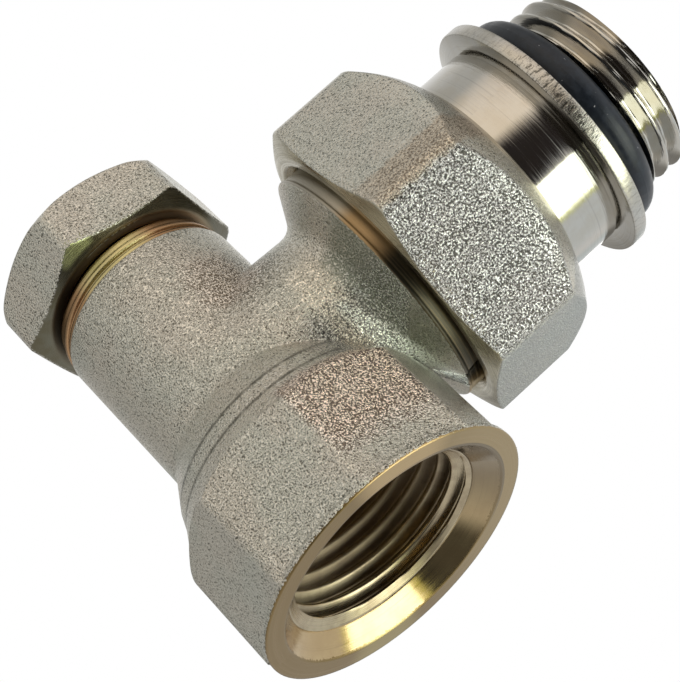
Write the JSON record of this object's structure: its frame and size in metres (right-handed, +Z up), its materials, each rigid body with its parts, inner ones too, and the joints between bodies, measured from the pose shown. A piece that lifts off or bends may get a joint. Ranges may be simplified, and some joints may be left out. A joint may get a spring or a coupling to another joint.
{
  "type": "angle radiator valve",
  "caption": "Nickel-plated lockshield angle valve with an eight-sided pipe socket, six-sided cap and union tail with a sealing ring.",
  "frame": {"origin": "on the axis of the pipe socket, at the outer end of its thread, where the lead-in cone ends", "axes": "+Z up the socket and barrel to the cap, +X along the union towards the radiator, which the nut and tail point at"},
  "size_m": [0.0619, 0.034, 0.0477],
  "materials": {
    "nickel_forging": "forged brass, blasted and nickel plated, satin grey",
    "nickel_cap": "blasted and nickel plated brass, satin grey",
    "nickel_nut": "blasted and nickel plated brass, satin grey",
    "turned_nickel": "turned brass, bright nickel plate",
    "bare_brass": "turned brass, bright",
    "steel_wire": "spring steel",
    "spring_bronze": "drawn bronze wire",
    "black_rubber": "smooth black rubber",
    "seat_rubber": "hard black rubber",
    "red_fibre": "red sealing fibre"
  },
  "bodies": {
    "body": {"valve_body": "nickel_forging", "stop_ring": "steel_wire"},
    "cap_rise": {"cap_gasket": "red_fibre"},
    "cap": {"lockshield_cap": "nickel_cap"},
    "spindle_rise": {"spindle_ring_lower": "black_rubber", "spindle_ring_upper": "black_rubber", "seat_disc": "seat_rubber"},
    "spindle": {"regulating_spindle": "bare_brass", "disc_washer": "bare_brass", "disc_screw": "bare_brass"},
    "tail": {"tailpiece": "turned_nickel", "tail_ring": "black_rubber", "radiator_ring": "black_rubber", "nut_split_ring": "spring_bronze"},
    "nut": {"union_nut": "nickel_nut"}
  },
  "joints": [
    {"name": "cap_lift", "type": "slide", "parent": "body", "child": "cap_rise", "axis": [0, 0, 1], "range_m": [0, 0.0054]},
    {"name": "cap_turn", "type": "hinge", "parent": "cap_rise", "child": "cap", "pos_m": [0, 0, 0.03983], "axis": [0, 0, 1], "range_deg": [0, 1944]},
    {"name": "spindle_lift", "type": "slide", "parent": "body", "child": "spindle_rise", "axis": [0, 0, 1], "range_m": [0, 0.0035]},
    {"name": "spindle_turn", "type": "hinge", "parent": "spindle_rise", "child": "spindle", "pos_m": [0, 0, 0.02983], "axis": [0, 0, 1], "range_deg": [0, 1260]},
    {"name": "tail_slide", "type": "slide", "parent": "body", "child": "tail", "axis": [1, 0, 0], "range_m": [0, 0.007]},
    {"name": "nut_turn", "type": "hinge", "parent": "tail", "child": "nut", "pos_m": [0.0246, 0, 0.01983], "axis": [1, 0, 0], "range_deg": [0, 1389]}
  ],
  "couplings": [
    {"joint": "cap_lift", "follows": "cap_turn", "m_per_rad": 0.00015915},
    {"joint": "spindle_lift", "follows": "spindle_turn", "m_per_rad": 0.00015915},
    {"joint": "tail_slide", "follows": "nut_turn", "m_per_rad": 0.00028871}
  ]
}
